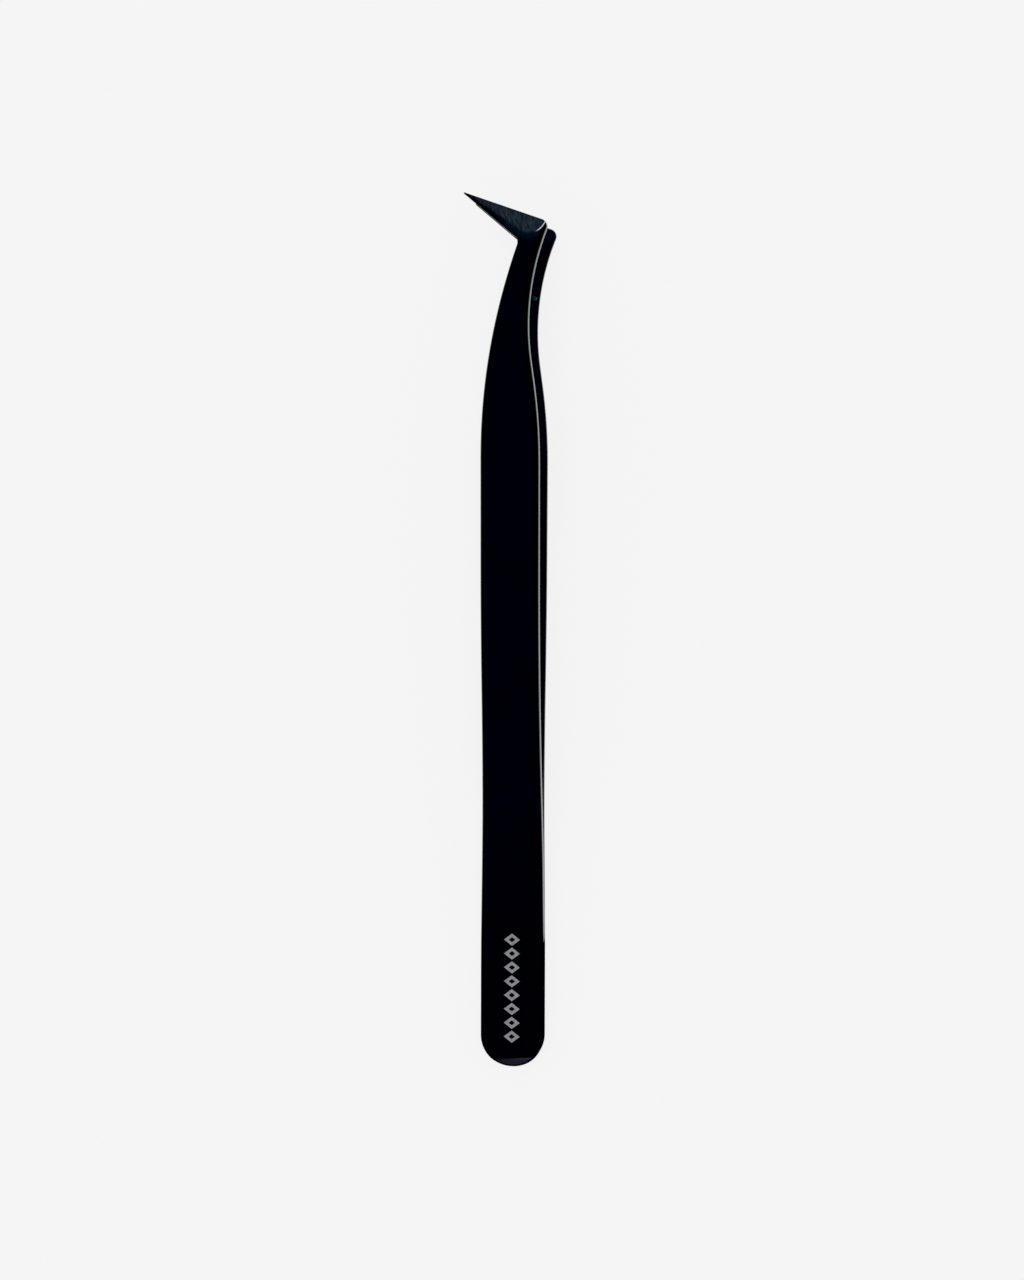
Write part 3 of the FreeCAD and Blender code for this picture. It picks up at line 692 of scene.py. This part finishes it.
def butt_slope(arm):
    """Zone and colour of the slope ground on the butt's end, inside its dark rim. Its tone is partly
    painted reflection, and the light line along its top is a painted highlight.
    """
    start = arm.plus(BUTT_FACET_Y + 0.10, arm.times(arm.x, 0.08))
    depth = arm.math("SUBTRACT", start, arm.y)
    from_centre = arm.vector("SUBTRACT", arm.flat_place, (0.0, BUTT_END + BUTT_HALF, 0.0))
    rim_depth = arm.math("SUBTRACT", BUTT_HALF, arm.vector("LENGTH", from_centre))
    zone = arm.times(arm.step(depth, 0.0, 0.12), arm.step(rim_depth, 0.28, 0.44), arm.outer)
    # navy to the -X side, lighter to the +X side; the lighter tone is partly painted reflection
    tone = arm.mix(arm.step(arm.x, -4.0, 0.5), NAVY, BUTT_SLATE_AND_REFLECTION)
    streaked = arm.mix(0.35, tone, SLATE_AND_REFLECTION_LIGHT)
    tone = arm.mix(arm.step(arm.streaks, 0.48, 0.62), tone, streaked)
    # painted highlight: a light line along the top of the slope
    painted_top_highlight = arm.times(arm.step(depth, 0.34, 0.14), arm.step(arm.x, -0.5, 2.8), 0.6)
    return zone, arm.mix(painted_top_highlight, tone, SLATE_AND_REFLECTION_LIGHT)


def painted_heel_glint(arm, distance):
    """Painted highlight: a thin bright line where the ground face meets the heel's rounded edge."""
    line_share = arm.math("SUBTRACT", 1.0, arm.step(arm.math("ABSOLUTE", distance), 0.03, 0.10))
    below_top = arm.math("SUBTRACT", 1.0, arm.step(arm.y, 115.4, 115.6))
    return arm.times(line_share, arm.step(arm.x, 3.7, 4.4), below_top, arm.outer)


def black_steel(name, is_front):
    """Black-coated spring steel with ground boot faces, and on the front arm the laser mark."""
    arm = ArmNodes(name)
    distance = ground_distance(arm)
    grind = arm.noise(arm.brushed(104, 3.4, 0.85), 1.0, 4.0, 0.60)
    grind_fine = arm.noise(arm.brushed(98, 8.5, 2.0), 1.0, 3.0, 0.6)
    grit = arm.plus(arm.times(grind, 0.55), arm.times(grind_fine, 0.45))
    loose = arm.plus(distance, arm.times(arm.math("SUBTRACT", grind, 0.5), 1.1))

    # at the heel the ground face ends in a clean line; along the boot it fades out in streaks
    faded = arm.step(loose, -0.20, 0.55)
    crisp = arm.step(distance, -0.03, 0.05)
    edge_of_grind = arm.mix(arm.step(arm.x, 3.0, 4.2), faded, crisp)
    grey_zone = arm.times(edge_of_grind, arm.on_face, arm.outer)

    colour = arm.mix(heat_blue(arm, loose, is_front), coat_colour(arm), BLUE_STEEL)
    # the ground face: its own streaked finish, with its grey partly painted reflection
    colour = arm.mix(grey_zone, colour, slate_and_reflection_colour(arm, grit))
    slope_zone, slope_tone = butt_slope(arm)
    colour = arm.mix(slope_zone, colour, slope_tone)
    # painted highlight along the heel's edge of the ground face
    colour = arm.mix(painted_heel_glint(arm, distance), colour, PAINTED_GLINT_WHITE)
    chips = arm.step(arm.noise(arm.rest, 3.2, 4.0, 0.7), 0.60, 0.72)
    colour = arm.mix(arm.times(arm.rim, chips, 0.35), colour, WORN_STEEL)

    rough = arm.plus(0.13, arm.times(arm.streaks, 0.16), arm.times(grey_zone, 0.30))
    if is_front:
        mark = lozenge_mark(arm)
        grain = arm.step(arm.noise(arm.rest, 12.0, 2.0), 0.35, 0.65)
        colour = arm.mix(mark, colour, arm.mix(grain, MARK_DARK, MARK_LIGHT))
        rough = arm.plus(rough, arm.times(mark, 0.4))

    fine = arm.noise(arm.brushed(90, 40.0, 0.9), 1.0, 3.0, 0.5)
    ground = arm.times(grit, grey_zone, 2.5)
    relief = arm.plus(arm.times(fine, 0.5), arm.times(arm.streaks, 0.5), ground)
    bump = arm.add("ShaderNodeBump", {"Strength": 0.10, "Distance": 0.00002, "Height": relief})
    # the side walls of the butt are kept dull as painted shade, for the shadowed floor they would
    # mirror; all the rest takes a sheen when seen at a slant
    sheen_zone = arm.math("MAXIMUM", arm.step(arm.y, 9.0, 17.0), arm.step(arm.face, 0.5, 1.0))
    return arm.finish(
        Base_Color=colour, Roughness=rough, IOR=3.0,
        Specular_IOR_Level=arm.times(sheen_zone, arm.slant_gloss()),
        # painted shade: the rear arm's walls get a darker sheen tint than the front's
        Specular_Tint=FRONT_SHEEN if is_front else REAR_SHADED_SHEEN,
        Normal=bump.outputs[0],
    )


def blued_steel():
    """The little guide pin: blued, with turning marks round it."""
    nodes = Nodes("blued_steel")
    place = nodes.add("ShaderNodeTexCoord").outputs["Object"]
    rings = nodes.add("ShaderNodeTexWave", {"Vector": place, "Scale": 9000.0, "Distortion": 2.0},
                      bands_direction="Z").outputs["Fac"]
    patches = nodes.step(nodes.noise(place, 2500.0, 3.0), 0.35, 0.65)
    colour = nodes.mix(patches, (0.0010, 0.0100, 0.0220), (0.0030, 0.0260, 0.0480))
    rough = nodes.plus(0.22, nodes.times(rings, 0.12))
    bump = nodes.add("ShaderNodeBump", {"Strength": 0.15, "Distance": 0.00001, "Height": rings})
    return nodes.finish(
        Base_Color=colour, Roughness=rough, IOR=2.4, Specular_IOR_Level=nodes.slant_gloss(),
        Specular_Tint=(0.20, 0.60, 0.80), Normal=bump.outputs[0],
    )


def weld_metal():
    """Fused nugget: matt grey with a faint blue heat tint and a grainy surface."""
    nodes = Nodes("weld_metal")
    place = nodes.add("ShaderNodeTexCoord").outputs["Object"]
    grain = nodes.noise(place, 6000.0, 5.0, 0.7)
    tint = nodes.noise(place, 900.0, 2.0)
    colour = nodes.mix(nodes.step(grain, 0.35, 0.65), (0.10, 0.10, 0.10), (0.26, 0.25, 0.24))
    colour = nodes.mix(nodes.step(tint, 0.5, 0.8), colour, (0.08, 0.10, 0.18))
    bump = nodes.add("ShaderNodeBump", {"Strength": 0.4, "Distance": 0.00003, "Height": grain})
    return nodes.finish(Base_Color=colour, Metallic=0.8, Roughness=0.55, Normal=bump.outputs[0])


# --------------------------------------------------------------------------------------- the pieces


def build_pin(node):
    """Guide pin with a bevelled nose and a small shoulder where it enters the arm."""
    low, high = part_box(node)
    centre = (low + high) / 2
    radius = (high.x - low.x) / 2
    bevel = 0.12 * MM
    profile = [
        (0.0, low.z), (radius * 0.9, low.z), (radius, low.z + bevel / 2),
        (radius, high.z - bevel), (radius - bevel * 0.3, high.z - bevel * 0.35),
        (radius - bevel, high.z), (0.0, high.z),
    ]
    work = bmesh.new()
    rim = [work.verts.new((r, 0, z)) for r, z in profile]
    edges = [work.edges.new(pair) for pair in zip(rim, rim[1:])]
    bmesh.ops.spin(
        work, geom=rim + edges, cent=(0, 0, 0), axis=(0, 0, 1), dvec=(0, 0, 0),
        angle=2 * math.pi, steps=36, use_duplicate=False,
    )
    bmesh.ops.remove_doubles(work, verts=work.verts, dist=1e-7)
    bmesh.ops.recalc_face_normals(work, faces=work.faces)
    mesh = bpy.data.meshes.new("pressed_pin")
    work.to_mesh(mesh)
    work.free()
    mesh.transform(Matrix.Translation((centre.x, centre.y, 0)))
    pin = bpy.data.objects.new("pressed_pin", mesh)
    bpy.context.scene.collection.objects.link(pin)
    smooth(pin, 35)
    return pin


SOCKET_RADIUS = 0.475
SOCKET_DEPTH = 0.8
SOCKET_OVERRUN = 0.6       # how far the cutter starts below the inner face

front = build_arm("arm_front", mirror=False)
rear = build_arm("arm_rear", mirror=True)
pin_low, pin_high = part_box("guide_pin")
pin_x = (pin_low.x + pin_high.x) / 2 / MM
pin_y = (pin_low.y + pin_high.y) / 2 / MM
face_z = PARTING + strip_height(pin_y, 0)
cut_low = face_z - SOCKET_OVERRUN
cut_high = face_z + SOCKET_DEPTH
drill(front, Vector((pin_x, pin_y, (cut_low + cut_high) / 2)), SOCKET_RADIUS, cut_high - cut_low)

front_steel = black_steel("black_steel_marked", is_front=True)
rear_steel = black_steel("black_steel", is_front=False)
for arm, steel, swing, cad_nodes in (
    (front, front_steel, "front_arm", ("front_butt", "front_blade")),
    (rear, rear_steel, "rear_arm", ("rear_butt", "rear_blade")),
):
    keep_rest_place(arm)
    smooth(arm, 40)
    arm.data.materials.clear()
    arm.data.materials.append(steel)
    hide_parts(*cad_nodes)
    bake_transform(arm)

pin = build_pin("guide_pin")
pin.data.materials.append(blued_steel())
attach(pin, "rear_arm")
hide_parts("guide_pin")

welds = frame["nodes"]["spot_welds"]
welds.data.materials.clear()
welds.data.materials.append(weld_metal())


# ------------------------------------------------------------------------- floor, light and camera


FLOOR_HALF = 4.0           # metres
FLOOR_CLEARANCE = 0.02     # millimetres below the butt's end
FLOOR_GLOW = 0.843
SEEN_WHITE = 0.913


def floor_slope():
    """Slope of the floor that the tweezers rest on: from the butt's end up to the rear arm's belly."""
    rises = [(strip_height(y, THICKNESS) - THICKNESS, y - BUTT_END) for y in np.arange(20, 119, 0.5)]
    return max(rise / run for rise, run in rises)


def add_floor():
    """Pale paper-like floor that glows a little, so that the shadow on it stays faint."""
    slope = math.atan(floor_slope())
    work = bmesh.new()
    bmesh.ops.create_grid(work, x_segments=1, y_segments=1, size=FLOOR_HALF)
    mesh = bpy.data.meshes.new("floor")
    work.to_mesh(mesh)
    work.free()
    floor = bpy.data.objects.new("floor", mesh)
    bpy.context.scene.collection.objects.link(floor)
    floor.rotation_euler = (-slope, 0, 0)
    floor.location = (0, BUTT_END * MM, -FLOOR_CLEARANCE * MM)
    nodes = Nodes("pale_floor")
    place = nodes.add("ShaderNodeTexCoord").outputs["Object"]
    paper = nodes.noise(place, 900.0, 3.0)
    shade = nodes.mix(paper, (0.066, 0.066, 0.066), (0.074, 0.074, 0.074))
    floor.data.materials.append(nodes.finish(
        Base_Color=shade, Roughness=1.0, Specular_IOR_Level=0.0,
        Emission_Color=(FLOOR_GLOW, FLOOR_GLOW, FLOOR_GLOW), Emission_Strength=1.0,
    ))


def add_world():
    """Even white dome that lights the scene but isn't mirrored in the black steel."""
    world = bpy.data.worlds.new("soft_dome")
    world.use_nodes = True
    tree = world.node_tree
    tree.nodes.clear()
    lit = tree.nodes.new("ShaderNodeBackground")
    lit.inputs["Color"].default_value = (1.0, 1.0, 1.0, 1.0)
    seen = tree.nodes.new("ShaderNodeBackground")
    seen.inputs["Color"].default_value = (SEEN_WHITE, SEEN_WHITE, SEEN_WHITE, 1.0)
    path = tree.nodes.new("ShaderNodeLightPath")
    mix = tree.nodes.new("ShaderNodeMixShader")
    output = tree.nodes.new("ShaderNodeOutputWorld")
    tree.links.new(path.outputs["Is Camera Ray"], mix.inputs[0])
    tree.links.new(lit.outputs[0], mix.inputs[1])
    tree.links.new(seen.outputs[0], mix.inputs[2])
    tree.links.new(mix.outputs[0], output.inputs[0])
    world.cycles_visibility.glossy = False
    world.cycles.sampling_method = "MANUAL"
    world.cycles.sample_map_resolution = 64
    bpy.context.scene.world = world


def add_softboxes():
    """Four faint strips low on the horizon, which give the black steel a sheen from the side."""
    reach = 0.9
    lift = 0.16
    middle = Vector((0, 0.055, 0))
    for number, heading in enumerate((0, 90, 180, 270), start=1):
        light = bpy.data.lights.new(f"softbox_{number}", "AREA")
        light.shape = "RECTANGLE"
        light.size = 1.1
        light.size_y = 0.16
        light.energy = 0.07
        lamp = bpy.data.objects.new(light.name, light)
        bpy.context.scene.collection.objects.link(lamp)
        outwards = Vector((math.sin(rad(heading)), math.cos(rad(heading)), 0))
        lamp.location = middle + outwards * reach + Vector((0, 0, lift))
        lamp.rotation_euler = (middle - lamp.location).to_track_quat("-Z", "Y").to_euler()
        lamp.visible_diffuse = False
        lamp.visible_camera = False


def add_camera():
    """Camera at the photo's angle: above the face, a little to the back-edge side."""
    camera = bpy.data.cameras.new("camera")
    camera.sensor_fit = "VERTICAL"
    camera.sensor_height = 36.0
    camera.lens = 60.23
    camera.clip_start = 0.01
    holder = bpy.data.objects.new("camera", camera)
    bpy.context.scene.collection.objects.link(holder)
    right = Vector((0.98961, 0.00327, -0.14373)).normalized()
    up = Vector((-0.01054, 0.99870, -0.04982)).normalized()
    back = right.cross(up)
    turn = Matrix((right, up, back)).transposed().to_4x4()
    holder.matrix_world = Matrix.Translation(Vector((45.59, 70.61, 317.69)) * MM) @ turn
    bpy.context.scene.camera = holder


add_floor()
add_world()
add_softboxes()
add_camera()
bpy.context.scene.view_settings.view_transform = "Standard"
